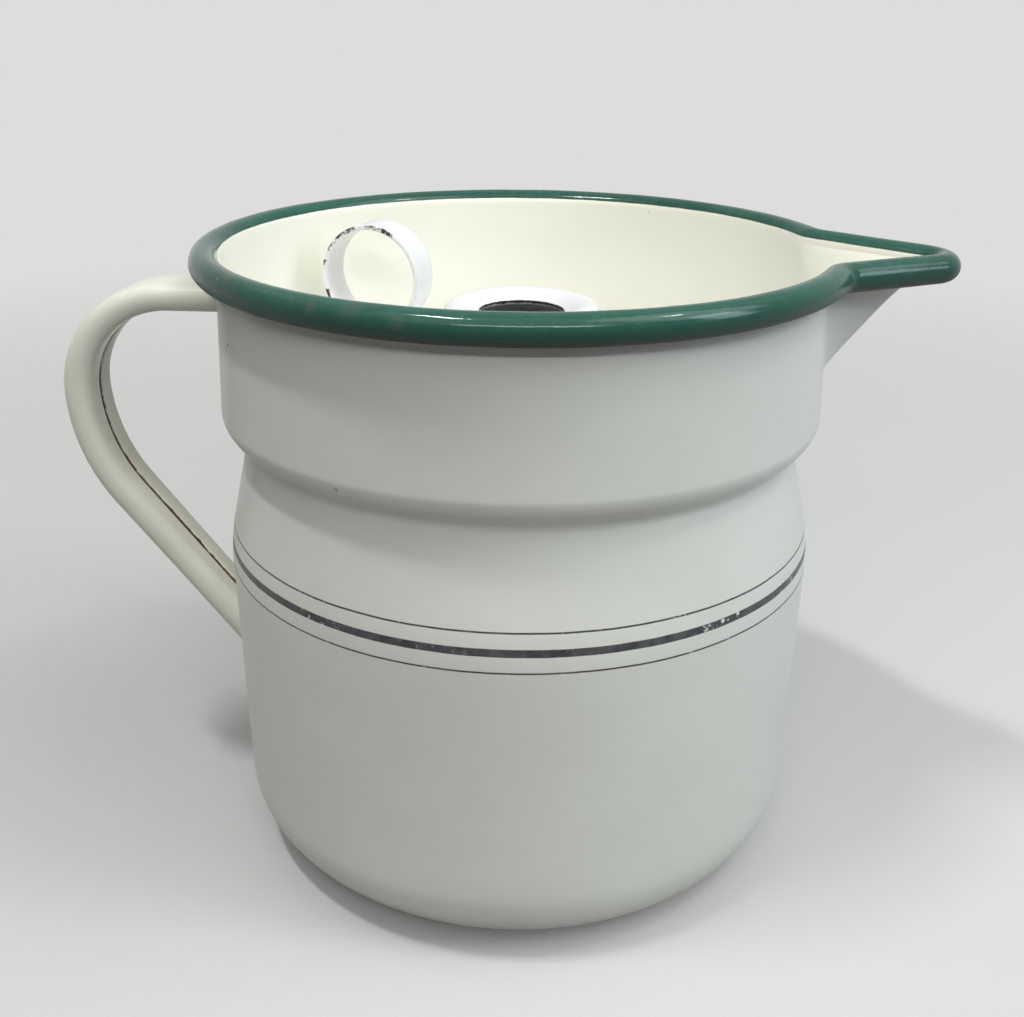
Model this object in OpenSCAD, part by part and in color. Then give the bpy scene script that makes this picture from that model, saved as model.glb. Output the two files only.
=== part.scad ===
// Enamelled sheet-steel milk boiler: a waisted jug with a wired roll round its mouth,
// a pouring spout, a rolled strip handle and a loose boil-over insert with a lifting ring.
// Millimetres. The origin is the centre of the base, on the surface that the jug stands on.
// +Z is up, the spout points to +X and the handle lies on the -X side.

/* [Vessel] */
// Thickness of the enamelled sheet
sheet_t = 1.1; // [0.8:0.1:1.6]
// Inner radius of the mouth
mouth_r = 79.15; // [60:0.05:100]
// Height of the middle of the roll round the mouth
rim_z = 169.9; // [150:0.1:200]
// Height of the upper band, from the shoulder to the middle of the roll
band_h = 41.8; // [36:0.1:48]
// Height of the slope between the waist and the shoulder
slope_h = 6; // [4.5:0.1:9]
// Height between the largest radius of the lower body and the waist
flank_h = 29.3; // [22:0.1:40]
// Swell of the shoulder over the band's upper edge
shoulder_swell = 1.4; // [0.4:0.05:3]
// Depth of the waist inside the shoulder
waist_depth = 6.5; // [5:0.1:8]
// Swell of the lower body over the shoulder
belly_swell = 0.1; // [0:0.05:3]
// Taper of the lower wall from its largest radius to the floor, before the corner is rounded
wall_taper = 1.25; // [0:0.05:6]
// Radius of the corner between floor and wall
corner_r = 22.5; // [10:0.5:30]
// Depth that the middle of the floor is pressed up
floor_dish = 1.2; // [0.4:0.1:2.5]
// Width of the flat ring that the jug stands on
floor_ring_w = 6; // [3:0.5:12]

/* [Mouth roll] */
// Outer diameter of the rolled edge
roll_d = 7.64; // [6:0.02:10]
// Turn of the rolled sheet, from the wall over the top and back under
roll_turn = 305; // [270:1:310]
// Clearance all round the wire in the roll
wire_clear = 0.4; // [0.2:0.1:0.8]

/* [Spout] */
// Reach of the lip beyond the mouth's inner radius
spout_out = 34.85; // [28:0.05:50]
// Angle of each side of the lip from the middle line
spout_half_angle = 32.5; // [28:0.5:40]
// Radius of the snub tip, at the middle of the roll
nose_r = 7.5; // [6.5:0.5:12]
// Radius where the roll turns from the mouth into the lip
kink_r = 10; // [4.5:0.5:12]
// Slope of the lip below the level of the mouth
lip_dip = 1.2; // [0:0.2:8]
// Depth of the spout's foot below the middle of the roll
spout_drop = 29.3; // [22:0.1:35]
// Hollow of the spout's sheet under the lip, as a share of the sheet's height there
spout_hollow = 0.085; // [0:0.005:0.12]
// Fullness of the spout's foot, 1 is a sharp V and 2 a half ellipse
foot_fullness = 2; // [1.2:0.1:2]

/* [Handle] */
// Depth of the upper limb's middle below the middle of the roll
handle_drop = 14.2; // [11:0.2:20]
// Distance of the grip's middle from the lower body
handle_out = 43.25; // [34:0.05:52]
// Radius of the upper bend
handle_bend_r = 28; // [18:0.5:30]
// Radius of the long lower bend
handle_sweep_r = 50; // [35:1:70]
// Angle of the lower limb from the vertical
handle_lean = 38; // [28:0.2:42]
// Width of the grip at the upper end
handle_w_top = 18.5; // [15:0.5:24]
// Width of the grip at the lower end
handle_w_low = 17.5; // [13:0.5:20]
// Thickness of the grip at the upper end
handle_t_top = 7; // [6:0.2:9]
// Thickness of the grip in the hand
handle_t_grip = 8; // [7:0.2:11]
// Depth that the two edges of the strip are turned in at the seam
seam_depth = 1.3; // [0.5:0.1:2]
// Width of the slit between the two edges
seam_gap = 0.9; // [0.5:0.1:1.6]

/* [Insert] */
// Clearance between the insert and the mouth that it is lifted through
insert_clear = 0.95; // [0.5:0.05:1.6]
// Clearance between the insert's skirt and the shoulder that it rests on
seat_clear = 0.3; // [0.2:0.05:0.5]
// Height of the insert's turned-down skirt
skirt_h = 5.8; // [4.5:0.1:8]
// Radius of the edge between plate and skirt
skirt_round = 3; // [1.5:0.5:4.5]
// Outer radius of the chimney
chimney_r = 21.6; // [18:0.2:30]
// Height of the chimney above the plate
chimney_h = 23.7; // [14:0.1:28]
// Radius of the chimney's outer shoulder
chimney_round = 4.6; // [3:0.1:7]
// Diameter of the hole in the chimney
chimney_hole_d = 22.7; // [16:0.1:30]
// Drop of the chimney's top from its crest to the hole
chimney_dip = 2.3; // [1:0.1:3.5]
// Radius of the fillet at the chimney's foot
chimney_fillet = 6; // [2:0.5:9]
// Number of drain holes near the plate's edge
drain_count = 8; // [4:1:12]
// Diameter of a drain hole
drain_d = 5; // [3:0.5:6]
// Distance of the drain holes from the plate's edge
drain_inset = 8.2; // [7:0.2:12]

/* [Lifting ring] */
// Outer width of the ring
ring_w = 31; // [24:0.2:36]
// Outer height of the ring
ring_h = 38; // [32:0.5:42]
// Width of the strip that the ring is bent from
ring_strip_w = 11.5; // [6:0.5:13]
// Thickness of that strip
ring_t = 1.5; // [1:0.1:2.5]
// Width of the flat that is welded to the plate
ring_foot_w = 9; // [5:0.5:14]
// Distance of the ring's middle from the edge of the insert
ring_inset = 21.2; // [18:0.2:30]
// Bearing of the ring round the jug, from the spout
ring_bearing = 144; // [90:1:180]
// Turn of the ring's strip from the sideways direction
ring_turn = 14; // [-45:1:45]

/* [Hidden] */
$fn = 96;
ivory = [0.86, 0.86, 0.80];
green = [0.10, 0.27, 0.20];
white = [0.90, 0.91, 0.90];
steel = [0.45, 0.45, 0.45];

// Outline tools

function unit(v) = v / norm(v);
function turned(v) = [v[1], -v[0]];

// Points of an arc in a plane
function arc(c, r, a0, a1, n) = [
    for (i = [0:n])
        let (a = a0 + (a1 - a0) * i / n)
        c + r * [cos(a), sin(a)]
];

// One corner b between a and c, rounded to radius r in n steps
function rounded_corner(a, b, c, r, n) =
    let (
        u = unit(a - b),
        v = unit(c - b),
        half = acos(u * v) / 2,
        middle = b + unit(u + v) * r / sin(half),
        start = b + u * r / tan(half) - middle,
        finish = b + v * r / tan(half) - middle,
        a0 = atan2(start[1], start[0]),
        swing = atan2(finish[1], finish[0]) - a0,
        sweep = swing > 180 ? swing - 360 : (swing < -180 ? swing + 360 : swing)
    )
    arc(middle, r, a0, a0 + sweep, n);

// A run of [r, z, rounding, steps] corners as points
function rounded_run(q) = [
    for (i = [0:len(q) - 1])
        let (p = [q[i][0], q[i][1]])
        each (q[i][2] == 0
            ? [p]
            : rounded_corner([q[i - 1][0], q[i - 1][1]], p, [q[i + 1][0], q[i + 1][1]], q[i][2], q[i][3]))
];

// The same run moved by t to the left of its direction
function moved_run(p, t) = [
    for (i = [0:len(p) - 1])
        let (
            before = i == 0 ? unit(p[1] - p[0]) : unit(p[i] - p[i - 1]),
            after = i == len(p) - 1 ? before : unit(p[i + 1] - p[i]),
            bisector = unit(before + after)
        )
        p[i] - turned(bisector) * t / (bisector * before)
];

function reversed(p) = [for (i = [len(p) - 1:-1:0]) p[i]];

// Vessel

corner_steps = 12;
bend_steps = 6;
dish_slope_w = 6;
dish_blend_r = 5;
belly_blend_r = 45;
waist_blend_r = 2.5;
shoulder_blend_r = 6;

rim_r = mouth_r + sheet_t;
shoulder_r = rim_r + shoulder_swell;
waist_r = shoulder_r - waist_depth;
belly_r = shoulder_r + belly_swell;
base_r = belly_r - wall_taper;
floor_dish_r = base_r - corner_r - floor_ring_w - dish_slope_w;
shoulder_z = rim_z - band_h;
waist_z = shoulder_z - slope_h;
belly_z = waist_z - flank_h;

outer_run = rounded_run([
    [0, floor_dish, 0],
    [floor_dish_r, floor_dish, dish_blend_r, bend_steps],
    [floor_dish_r + dish_slope_w, 0, dish_blend_r, bend_steps],
    [base_r, 0, corner_r, corner_steps],
    [belly_r, belly_z, belly_blend_r, bend_steps],
    [waist_r, waist_z, waist_blend_r, bend_steps],
    [shoulder_r, shoulder_z, shoulder_blend_r, bend_steps],
    [rim_r, rim_z, 0]
]);
inner_run = moved_run(outer_run, sheet_t);

// Everything inside the vessel's outer face, up to the roll
module vessel_block() {
    rotate_extrude()
        polygon(concat(outer_run, [[0, rim_z]]));
}

module body_shell() {
    top = len(inner_run) - 1;
    inner_wall = [
        for (i = [0:top])
            i == 0 ? [0, inner_run[0][1]] : (i == top ? [mouth_r, rim_z] : inner_run[i])
    ];
    color(ivory)
        difference() {
            rotate_extrude()
                polygon(concat(outer_run, reversed(inner_wall)));
            spout_window();
        }
}

// Mouth line in plan: a circle round the jug, then two kinks, two straight sides and a snub tip

roll_r = roll_d / 2;
ring_line_r = mouth_r + roll_r;
spout_reach = mouth_r + spout_out;
spout_foot_z = rim_z - spout_drop;
nose_x = spout_reach - roll_r - nose_r;
side_offset = nose_x * sin(spout_half_angle) + nose_r;
kink_bearing = asin((side_offset + kink_r) / (ring_line_r + kink_r)) - spout_half_angle;
kink_x = ring_line_r * cos(kink_bearing);
kink_middle = (ring_line_r + kink_r) * [cos(kink_bearing), sin(kink_bearing)];
kink_sweep = 90 - spout_half_angle - kink_bearing;
side_normal = [sin(spout_half_angle), cos(spout_half_angle)];
side_start = kink_middle - kink_r * side_normal;
side_finish = [nose_x, 0] + nose_r * side_normal;

kink_steps = 6;
side_steps = 4;
nose_steps = 5;
ring_steps = 60;
lip_count = 2 * (kink_steps + side_steps + nose_steps) + 1;

// Half of the lip from its kink to the middle of the tip, moved out by u from the roll's middle
function half_lip(u) = concat(
    arc(kink_middle, kink_r - u, 180 + kink_bearing, 180 + kink_bearing + kink_sweep, kink_steps),
    [for (i = [1:side_steps]) side_start + u * side_normal + (side_finish - side_start) * i / side_steps],
    [for (i = [1:nose_steps])
        let (a = (90 - spout_half_angle) * (1 - i / nose_steps))
        [nose_x, 0] + (nose_r + u) * [cos(a), sin(a)]]
);

// The lip slopes down evenly from the kinks to the tip
function lip_z(x) = rim_z - max(0, x - kink_x) * tan(lip_dip);

// The whole lip from one kink to the other, moved out by u and up by v
function lip_line(u, v) =
    let (half = half_lip(u), middle = half_lip(0), last = len(half) - 1)
    [
        for (i = [0:2 * last])
            let (k = i <= last ? i : 2 * last - i, side = i <= last ? 1 : -1)
            [half[k][0], side * half[k][1], lip_z(middle[k][0]) + v]
    ];

// The rest of the mouth, between the kinks, without its two end points
function ring_line(u, v) = [
    for (i = [1:ring_steps - 1])
        let (a = -kink_bearing - (360 - 2 * kink_bearing) * i / ring_steps)
        [(ring_line_r + u) * cos(a), (ring_line_r + u) * sin(a), rim_z + v]
];

// Faces of a skin over equal rows of n points; each row is closed, the rows go round if loop is set
function skin_faces(rows, n, loop) = [
    for (k = [0:rows - (loop ? 1 : 2)], i = [0:n - 1])
        let (j = (i + 1) % n, a = k * n, b = (k + 1) % rows * n)
        each [[a + i, b + j, b + i], [a + i, a + j, b + j]]
];

// Caps over the first and last row of a strip section whose points i and n - 1 - i face each other
function strip_caps(rows, n) =
    let (first = [for (i = [0:n / 2 - 2]) each [[i, n - 2 - i, i + 1], [i, n - 1 - i, n - 2 - i]]])
    concat(first, [for (f = first) [f[2], f[1], f[0]] + (rows - 1) * n * [1, 1, 1]]);

// Rolled sheet: it leaves the top of the wall at 180 degrees, goes over the top and back under
roll_end = 180 - roll_turn;
roll_steps = 16;
slit_steps = 4;
roll_points = concat(
    arc([0, 0], roll_r, 180, roll_end, roll_steps),
    arc([0, 0], roll_r - sheet_t, roll_end, 180, roll_steps)
);

module roll_section() {
    slit = arc([0, 0], roll_d, roll_end, -180, slit_steps);
    difference() {
        circle(r = roll_r);
        circle(r = roll_r - sheet_t);
        polygon(concat([[0, 0]], slit));
    }
}

module rim_roll() {
    color(green)
        translate([0, 0, rim_z])
            rotate([0, 0, kink_bearing])
                rotate_extrude(angle = 360 - 2 * kink_bearing)
                    translate([ring_line_r, 0])
                        roll_section();
}

module spout_roll() {
    n = len(roll_points);
    lines = [for (q = roll_points) lip_line(q[0], q[1])];
    points = [for (k = [0:lip_count - 1], line = lines) line[k]];
    color(green)
        polyhedron(points, concat(skin_faces(lip_count, n, false), strip_caps(lip_count, n)));
}

// One wire lies in the roll all the way round
wire_sides = 12;

module rim_wire() {
    wire_r = roll_r - sheet_t - wire_clear;
    lines = [
        for (q = arc([0, 0], wire_r, 0, -360 * (1 - 1 / wire_sides), wire_sides - 1))
            concat(lip_line(q[0], q[1]), ring_line(q[0], q[1]))
    ];
    rows = len(lines[0]);
    color(steel)
        polyhedron([for (k = [0:rows - 1], line = lines) line[k]], skin_faces(rows, wire_sides, true));
}

// Spout: a sheet from a foot curve on the band up to the lip

// Outer radius of the band at height z
function band_r(z) =
    shoulder_r - shoulder_swell * (z - shoulder_z) / band_h;

// Foot curve through the band at depth d inside its outer face; its ends stop just under the lip
foot_end = 86;

function foot_line(d) = [
    for (i = [0:lip_count - 1])
        let (
            a = foot_end * (1 - 2 * i / (lip_count - 1)),
            r = band_r(rim_z) * sin(kink_bearing),
            y = r * sign(a) * pow(abs(sin(a)), 2 / foot_fullness),
            z = rim_z - (rim_z - spout_foot_z) * pow(abs(cos(a)), 2 / foot_fullness),
            band = band_r(z) - d
        )
        [sqrt(band * band - y * y), y, z]
];

// The sheet rises almost straight from its foot and turns up under the roll
spout_rows = 6;
hollow_hold = 6;

function sheet_row(foot, lip, t) = [
    for (k = [0:lip_count - 1])
        let (
            rise = lip[k] - foot[k],
            p = foot[k] + t * rise,
            hollow = spout_hollow * norm(rise) * t * (1 - pow(t, hollow_hold))
        )
        p - hollow * unit([p[0], p[1], 0])
];

module spout() {
    inner_foot = foot_line(sheet_t);
    inner_lip = lip_line(-roll_r, 0);
    outer_foot = foot_line(0);
    outer_lip = lip_line(sheet_t - roll_r, 0);
    inner = [for (i = [0:spout_rows]) sheet_row(inner_foot, inner_lip, i / spout_rows)];
    outer = [for (i = [spout_rows:-1:0]) sheet_row(outer_foot, outer_lip, i / spout_rows)];
    rows = concat(inner, outer);
    n = len(rows);
    points = [for (k = [0:lip_count - 1], row = rows) row[k]];
    color(ivory)
        polyhedron(points, concat(skin_faces(lip_count, n, false), strip_caps(lip_count, n)));
}

// Opening in the band behind the spout
module spout_window() {
    half_w = band_r(rim_z) * sin(kink_bearing);
    rotate([90, 0, 90])
        linear_extrude(spout_reach)
            polygon(concat(
                [for (p = foot_line(0)) [p[1], p[2]]],
                [[-half_w, rim_z + sheet_t], [half_w, rim_z + sheet_t]]
            ));
}

// Handle: a strip rolled to an oval tube, its two edges turned in at a seam on the inner side

bend_rings = 12;
sweep_rings = 8;
limb_rings = 3;
lobe_steps = 8;
crown = 0.5;
crown_share = 0.75;
lip_share = 0.45;
lip_rise = 0.3;
swell_way = 0.4;
taper_start = 0.35;
taper_way = 0.4;
handle_root = 3;
handle_top_z = rim_z - handle_drop;
handle_reach = belly_r + handle_out;

// Station [x, z, heading] on a bend of radius r that reaches handle_reach where the grip is upright
function bend_station(r, h) = [-handle_reach + r - r * sin(h), handle_top_z - handle_bend_r + r * cos(h), h];

// The heading turns from -X down and back towards the body
handle_stations = concat(
    [[-(rim_r - handle_root), handle_top_z, 0]],
    [for (i = [0:bend_rings]) bend_station(handle_bend_r, 90 * i / bend_rings)],
    [for (i = [1:sweep_rings]) bend_station(handle_sweep_r, 90 + handle_lean * i / sweep_rings)]
);
limb_start = handle_stations[len(handle_stations) - 1];
limb_length = (-(belly_r - handle_root - handle_t_grip / 2) - limb_start[0]) / sin(handle_lean);
handle_path = concat(
    handle_stations,
    [for (i = [1:limb_rings])
        limb_start + limb_length * i / limb_rings * [sin(handle_lean), -cos(handle_lean), 0]]
);

// Right half of the strip's section from the seam to the crown, for one face of the sheet
function half_section(w, t, inset) =
    let (r = t / 2, c = w / 2 - r, seam = -r + seam_depth)
    concat(
        [
            [seam_gap / 2, seam + inset],
            [seam_gap / 2 + (c - seam_gap / 2) * lip_share, -r + inset + seam_depth * lip_rise]
        ],
        arc([c, 0], r - inset, -90, 90, lobe_steps),
        [[c / 2, r - inset + crown * crown_share], [0, r - inset + crown]]
    );

function closed_section(w, t) =
    let (
        outer = half_section(w, t, 0),
        inner = half_section(w, t, sheet_t),
        last = len(outer) - 1
    )
    concat(
        outer,
        [for (i = [last - 1:-1:0]) [-outer[i][0], outer[i][1]]],
        [for (i = [0:last]) [-inner[i][0], inner[i][1]]],
        [for (i = [last - 1:-1:0]) inner[i]]
    );

function eased(x) = x <= 0 ? 0 : (x >= 1 ? 1 : x * x * (3 - 2 * x));

module handle() {
    last = len(handle_path) - 1;
    rings = [
        for (k = [0:last])
            let (
                s = k / last,
                w = handle_w_top + (handle_w_low - handle_w_top) * eased((s - taper_start) / taper_way),
                t = handle_t_top + (handle_t_grip - handle_t_top) * eased(s / swell_way),
                p = handle_path[k],
                out = [-sin(p[2]), 0, cos(p[2])]
            )
            [for (q = closed_section(w, t)) [p[0], 0, p[1]] + q[0] * [0, 1, 0] + q[1] * out]
    ];
    n = len(rings[0]);
    points = [for (ring = rings) each ring];
    color(ivory)
        difference() {
            polyhedron(points, concat(skin_faces(last + 1, n, false), strip_caps(last + 1, n)));
            vessel_block();
        }
}

// Insert

insert_r = mouth_r - insert_clear;
slope_share = norm([waist_depth, slope_h]) / slope_h;
seat_z = waist_z + (insert_r + (sheet_t + seat_clear) * slope_share - waist_r) * slope_h / waist_depth;
plate_z = seat_z + skirt_h;
chimney_z = plate_z + chimney_h;
chimney_ring_r = chimney_r - chimney_round;
chimney_lip_w = chimney_ring_r - chimney_hole_d / 2;
chimney_lip_r = (chimney_lip_w * chimney_lip_w + chimney_dip * chimney_dip) / (2 * chimney_dip);
chimney_lip_turn = asin(chimney_lip_w / chimney_lip_r);

insert_run = concat(
    arc([chimney_ring_r, chimney_z - chimney_lip_r], chimney_lip_r, 90 + chimney_lip_turn, 90, bend_steps),
    arc([chimney_ring_r, chimney_z - chimney_round], chimney_round, 90 - 90 / bend_steps, 0, bend_steps - 1),
    rounded_corner([chimney_r, chimney_z], [chimney_r, plate_z], [insert_r, plate_z], chimney_fillet, bend_steps),
    rounded_corner([chimney_r, plate_z], [insert_r, plate_z], [insert_r, seat_z], skirt_round, bend_steps),
    [[insert_r, seat_z]]
);

module insert_plate() {
    drain_r = insert_r - drain_inset;
    color(white)
        difference() {
            rotate_extrude()
                polygon(concat(insert_run, reversed(moved_run(insert_run, -sheet_t))));
            for (i = [0:drain_count - 1])
                rotate([0, 0, 360 * (i + 0.5) / drain_count])
                    translate([drain_r, 0, plate_z - 2 * sheet_t])
                        cylinder(d = drain_d, h = 3 * sheet_t);
        }
}

// Lifting ring: a strip bent to an upright hoop, round at the top and drawn in to a flat foot
ring_out = insert_r - ring_inset;
ring_r = ring_w / 2;
ring_middle = ring_h - ring_r;
ring_side_turn = atan2(ring_middle, ring_foot_w / 2) - acos(ring_r / norm([ring_foot_w / 2, ring_middle]));
hoop_steps = 48;

// The hoop's outline moved in by t, from one straight side over the top to the other
module hoop_outline(t) {
    half_foot = ring_foot_w / 2 - t * (1 - sin(ring_side_turn)) / cos(ring_side_turn);
    polygon(concat(
        arc([0, ring_middle], ring_r - t, -ring_side_turn, 180 + ring_side_turn, hoop_steps),
        [[-half_foot, t], [half_foot, t]]
    ));
}

module lifting_ring() {
    color(white)
        rotate([0, 0, ring_bearing])
            translate([ring_out, 0, plate_z])
                rotate([0, 0, -ring_bearing - ring_turn])
                    rotate([90, 0, 0])
                        linear_extrude(ring_strip_w, center = true)
                            difference() {
                                hoop_outline(0);
                                hoop_outline(ring_t);
                            }
}

body_shell();
rim_roll();
spout();
spout_roll();
rim_wire();
handle();
insert_plate();
lifting_ring();
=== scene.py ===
# %% [markdown]
# # Enamel milk boiler jug
#
# The jug is thin steel sheet under a skin of glass. Its edges are rolled round a wire, its spout is a
# pressed sheet, and its handle is a strip rolled to a tube. The frame that is loaded here holds the pieces
# at their real size. This file makes the surfaces that a hand and an eye would meet: soft enamel edges,
# fillets where the coating ran, worn stripes, chips and rust.

# %% Load the frame
import math
import bmesh
import bpy
from mathutils import Matrix, Vector, noise


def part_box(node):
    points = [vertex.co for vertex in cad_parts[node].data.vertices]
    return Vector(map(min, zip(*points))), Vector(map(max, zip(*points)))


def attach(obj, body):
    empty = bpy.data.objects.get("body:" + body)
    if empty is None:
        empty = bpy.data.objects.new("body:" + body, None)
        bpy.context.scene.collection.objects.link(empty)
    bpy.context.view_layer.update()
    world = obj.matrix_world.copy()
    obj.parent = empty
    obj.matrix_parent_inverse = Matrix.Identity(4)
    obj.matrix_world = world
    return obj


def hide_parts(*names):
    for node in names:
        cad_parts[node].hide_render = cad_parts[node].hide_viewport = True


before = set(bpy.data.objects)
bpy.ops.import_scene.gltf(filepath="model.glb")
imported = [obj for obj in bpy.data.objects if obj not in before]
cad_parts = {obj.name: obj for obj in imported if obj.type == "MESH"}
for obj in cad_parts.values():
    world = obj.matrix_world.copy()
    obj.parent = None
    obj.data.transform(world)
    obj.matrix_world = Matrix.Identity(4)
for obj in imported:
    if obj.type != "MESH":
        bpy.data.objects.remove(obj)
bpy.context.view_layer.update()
mm = 0.001

# %% [markdown]
# ## Sizes
#
# The frame gives the sizes that the pieces share: the roll's middle line, the reach of the spout and the
# insert's place. The heights of waist and shoulder can't be read from a box, so they are written here as
# real sizes.

# %% Sizes shared by the pieces
sheet_t = 1.1 * mm
roll_low, roll_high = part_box("rim_roll")
roll_r = (roll_high.z - roll_low.z) / 2
rim_z = (roll_high.z + roll_low.z) / 2
roll_line_r = -roll_low.x - roll_r
mouth_r = roll_line_r - roll_r
rim_r = mouth_r + sheet_t
tip_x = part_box("spout_roll")[1].x

shoulder_z = rim_z - 41.8 * mm
waist_z = shoulder_z - 6 * mm
belly_z = waist_z - 29.3 * mm
shoulder_r = rim_r + 1.4 * mm
waist_r = shoulder_r - 6.5 * mm
belly_r = shoulder_r + 0.1 * mm
base_r = belly_r - 1.25 * mm
print("rim height", round(rim_z / mm, 2), "mouth radius", round(mouth_r / mm, 2))

# %% [markdown]
# ## Helpers for edge chains
#
# A pressed sheet is easiest to draw as one line of edges that is carried round or along. The line starts
# with sharp corners, and a vertex bevel rounds each one to its own radius. Carrying a chain by spins keeps
# the mesh in clean quads, which a boolean or a remesh would not.

# %% Helpers for edge chains
def rounded_chain(bm, corners, place):
    """Joins (a, b, rounding, segments) corners by edges and rounds them; place turns (a, b) into a point."""
    points = [Vector(place(a, b)) for a, b, _, _ in corners]
    verts = [bm.verts.new(p) for p in points]
    for start, end in zip(verts, verts[1:]):
        bm.edges.new((start, end))
    for i, (_, _, rounding, segments) in enumerate(corners):
        if rounding:
            half = (points[i - 1] - points[i]).angle(points[i + 1] - points[i]) / 2
            bmesh.ops.bevel(bm, geom=[verts[i]], offset=rounding / math.tan(half), offset_type="OFFSET",
                            affect="VERTICES", segments=segments, profile=0.5, material=-1)
    return bm.verts[:] + bm.edges[:]


def split_long_edges(bm, longest):
    """Cuts every edge of a chain into equal lengths that are no longer than longest(edge)."""
    for edge in bm.edges[:]:
        cuts = math.ceil(edge.calc_length() / longest(edge)) - 1
        if cuts > 0:
            bmesh.ops.subdivide_edges(bm, edges=[edge], cuts=cuts)


def carry(bm, chain, centre, turn, travel, steps, axis=(0, 0, 1)):
    """Spins or pushes a chain onwards and returns where it ends."""
    return bmesh.ops.spin(bm, geom=chain, cent=centre, axis=axis, dvec=travel, angle=turn, steps=steps,
                          use_merge=False, use_duplicate=False)["geom_last"]


def verts_of(geometry):
    return [part for part in geometry if isinstance(part, bmesh.types.BMVert)]


def face_outwards(bm, outside):
    """Makes all faces agree, then turns them over if the face nearest the point outside looks away from it."""
    bmesh.ops.recalc_face_normals(bm, faces=bm.faces[:])
    nearest = min(bm.faces, key=lambda face: (face.calc_center_median() - outside).length)
    if nearest.normal.dot(outside - nearest.calc_center_median()) < 0:
        bmesh.ops.reverse_faces(bm, faces=bm.faces[:])


def thicken(bm, thickness, inner_material):
    """Gives a sheet its thickness on the side away from its normals; the new side has its own material."""
    outer = set(bm.faces)
    bmesh.ops.solidify(bm, geom=bm.faces[:], thickness=thickness)
    for face in bm.faces:
        if face not in outer:
            face.material_index = inner_material


def finish_piece(name, bm, materials, sharp=50):
    """Turns a bmesh into a smooth shaded object at the origin."""
    mesh = bpy.data.meshes.new(name)
    bm.to_mesh(mesh)
    bm.free()
    for material in materials:
        mesh.materials.append(material)
    mesh.shade_smooth()
    mesh.set_sharp_from_angle(angle=math.radians(sharp))
    piece = bpy.data.objects.new(name, mesh)
    bpy.context.scene.collection.objects.link(piece)
    triangles = sum(len(polygon.vertices) - 2 for polygon in mesh.polygons)
    print(name, "has", triangles, "triangles")
    return piece

# %% [markdown]
# ## Helpers for materials
#
# Every finish here is built from the same few effects, so each effect is a node group with named sockets.
# A group puts out masks, heights and colours only. The shader itself stays in the material, where its
# plain numbers sit on its own sockets.

# %% Helpers for node trees
def add(tree, kind, sockets=None, **settings):
    """Adds a node, sets its settings, and links or fills its input sockets by name or number."""
    made = tree.nodes.new("ShaderNode" + kind)
    for key, value in settings.items():
        setattr(made, key, value)
    for key, value in (sockets or {}).items():
        if isinstance(value, bpy.types.NodeSocket):
            tree.links.new(value, made.inputs[key])
        else:
            made.inputs[key].default_value = value
    return made


def calc(tree, operation, a, b=0.0, c=0.0):
    """A Math node's result."""
    return add(tree, "Math", {0: a, 1: b, 2: c}, operation=operation).outputs[0]


def step_up(tree, value, low, high):
    """0 below low, 1 above high, with a smooth step between them."""
    made = add(tree, "MapRange", {0: value, 1: low, 2: high}, interpolation_type="SMOOTHSTEP")
    return made.outputs[0]


def blend_colour(tree, mask, under, over):
    return add(tree, "Mix", {0: mask, 6: under, 7: over}, data_type="RGBA").outputs[2]


def clouds(tree, where, size, detail=3.0, roughness=0.55):
    """A noise whose lumps are about size metres across."""
    return add(tree, "TexNoise", {"Vector": where, "Scale": 1 / size, "Detail": detail,
                                  "Roughness": roughness}).outputs["Fac"]


def new_group(name, inputs, outputs):
    """A node group; inputs are (name, kind, default) and outputs are (name, kind)."""
    tree = bpy.data.node_groups.new(name, "ShaderNodeTree")
    for label, kind, default in inputs:
        tree.interface.new_socket(label, in_out="INPUT", socket_type="NodeSocket" + kind).default_value = default
    for label, kind in outputs:
        tree.interface.new_socket(label, in_out="OUTPUT", socket_type="NodeSocket" + kind)
    return tree, tree.nodes.new("NodeGroupInput").outputs, tree.nodes.new("NodeGroupOutput").inputs


def use_group(tree, group, sockets):
    """Places a group in a tree."""
    made = add(tree, "Group")
    made.node_tree = group
    for key, value in sockets.items():
        if isinstance(value, bpy.types.NodeSocket):
            tree.links.new(value, made.inputs[key])
        else:
            made.inputs[key].default_value = value
    return made.outputs


def new_material(name, **shader):
    """A material with its Principled shader; the plain numbers go on the shader's own sockets."""
    material = bpy.data.materials.new(name)
    material.use_nodes = True
    tree = material.node_tree
    principled = tree.nodes["Principled BSDF"]
    for key, value in shader.items():
        principled.inputs[key.replace("_", " ")].default_value = value
    where = add(tree, "TexCoord").outputs["Object"]
    return material, tree, principled, where

# %% [markdown]
# ## The effects
#
# Enamel is fired glass. Its surface has the slow waves of the sheet below and the fine peel of the melt.
# Dark specks are scale that was fired in. Where the glass is struck it leaves a small pit with a black
# floor, and rust creeps out round it. These four effects are made once.

# %% Node group for the waves and peel of fired enamel
def make_peel_group():
    tree, given, out = new_group("enamel_peel", [("Where", "Vector", (0, 0, 0)), ("Wave", "Float", 1.0),
                                                 ("Peel", "Float", 1.0)], [("Height", "Float")])
    wave = clouds(tree, given["Where"], 14 * mm, 1.0)
    peel = clouds(tree, given["Where"], 1.3 * mm, 2.0)
    waves = calc(tree, "MULTIPLY", wave, given["Wave"])
    tree.links.new(calc(tree, "MULTIPLY_ADD", peel, given["Peel"], waves), out["Height"])
    return tree

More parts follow.
